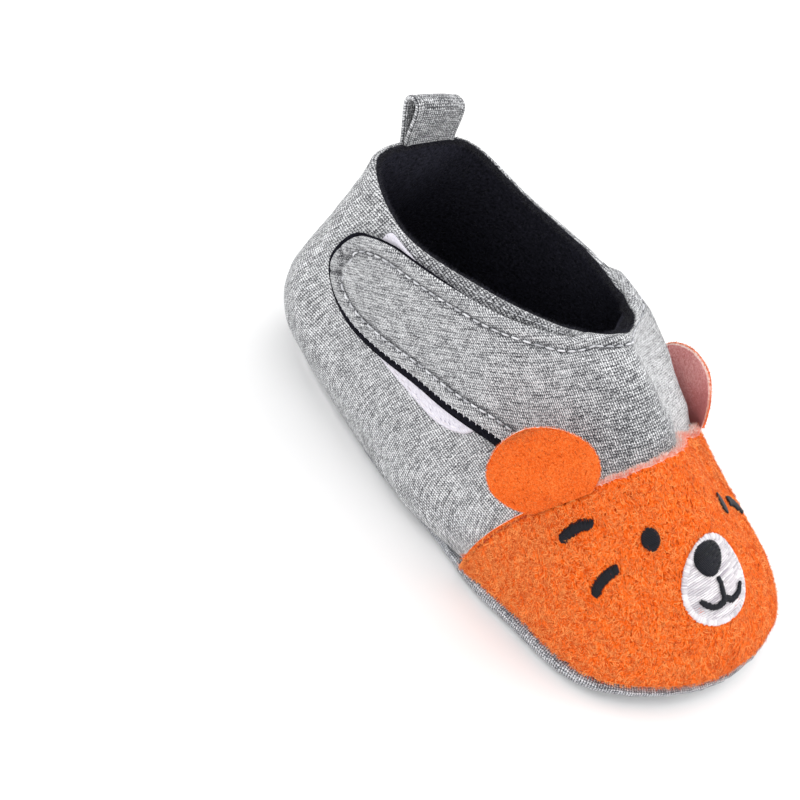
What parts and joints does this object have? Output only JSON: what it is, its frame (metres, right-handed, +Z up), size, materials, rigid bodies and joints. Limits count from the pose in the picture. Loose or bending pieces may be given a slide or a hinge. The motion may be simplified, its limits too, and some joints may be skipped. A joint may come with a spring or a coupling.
{
  "type": "first walker shoe",
  "caption": "Soft right baby shoe of grey jersey with a padded sole, hook-and-loop strap, heel pull loop and a suede toe cap with an animal face and round ears",
  "frame": {"origin": "on the floor, under the middle of the shoe's box", "axes": "+X to the toe, +Y to the wearer's left, +Z up"},
  "size_m": [0.1242, 0.0674, 0.067],
  "materials": {
    "grey_jersey": "matte heather knit",
    "sole_jersey": "matte heather knit",
    "black_fleece": "matte short pile",
    "orange_suede": "matte suede nap",
    "white_tape": "matte looped pile",
    "white_thread": "satin stitch",
    "navy_thread": "satin stitch"
  },
  "bodies": {
    "root": {"sole": "sole_jersey", "insole": "black_fleece", "upper": "grey_jersey", "toe_cap": "orange_suede", "ear_right": "orange_suede", "ear_left": "orange_suede", "loop_tape": "white_tape", "strap": "grey_jersey", "pull_loop": "grey_jersey", "muzzle": "white_thread", "nose": "navy_thread", "eye_right": "navy_thread", "eye_left": "navy_thread", "cheek_mark_right_1": "navy_thread", "cheek_mark_right_2": "navy_thread", "cheek_mark_left_1": "navy_thread", "cheek_mark_left_2": "navy_thread"}
  },
  "joints": []
}
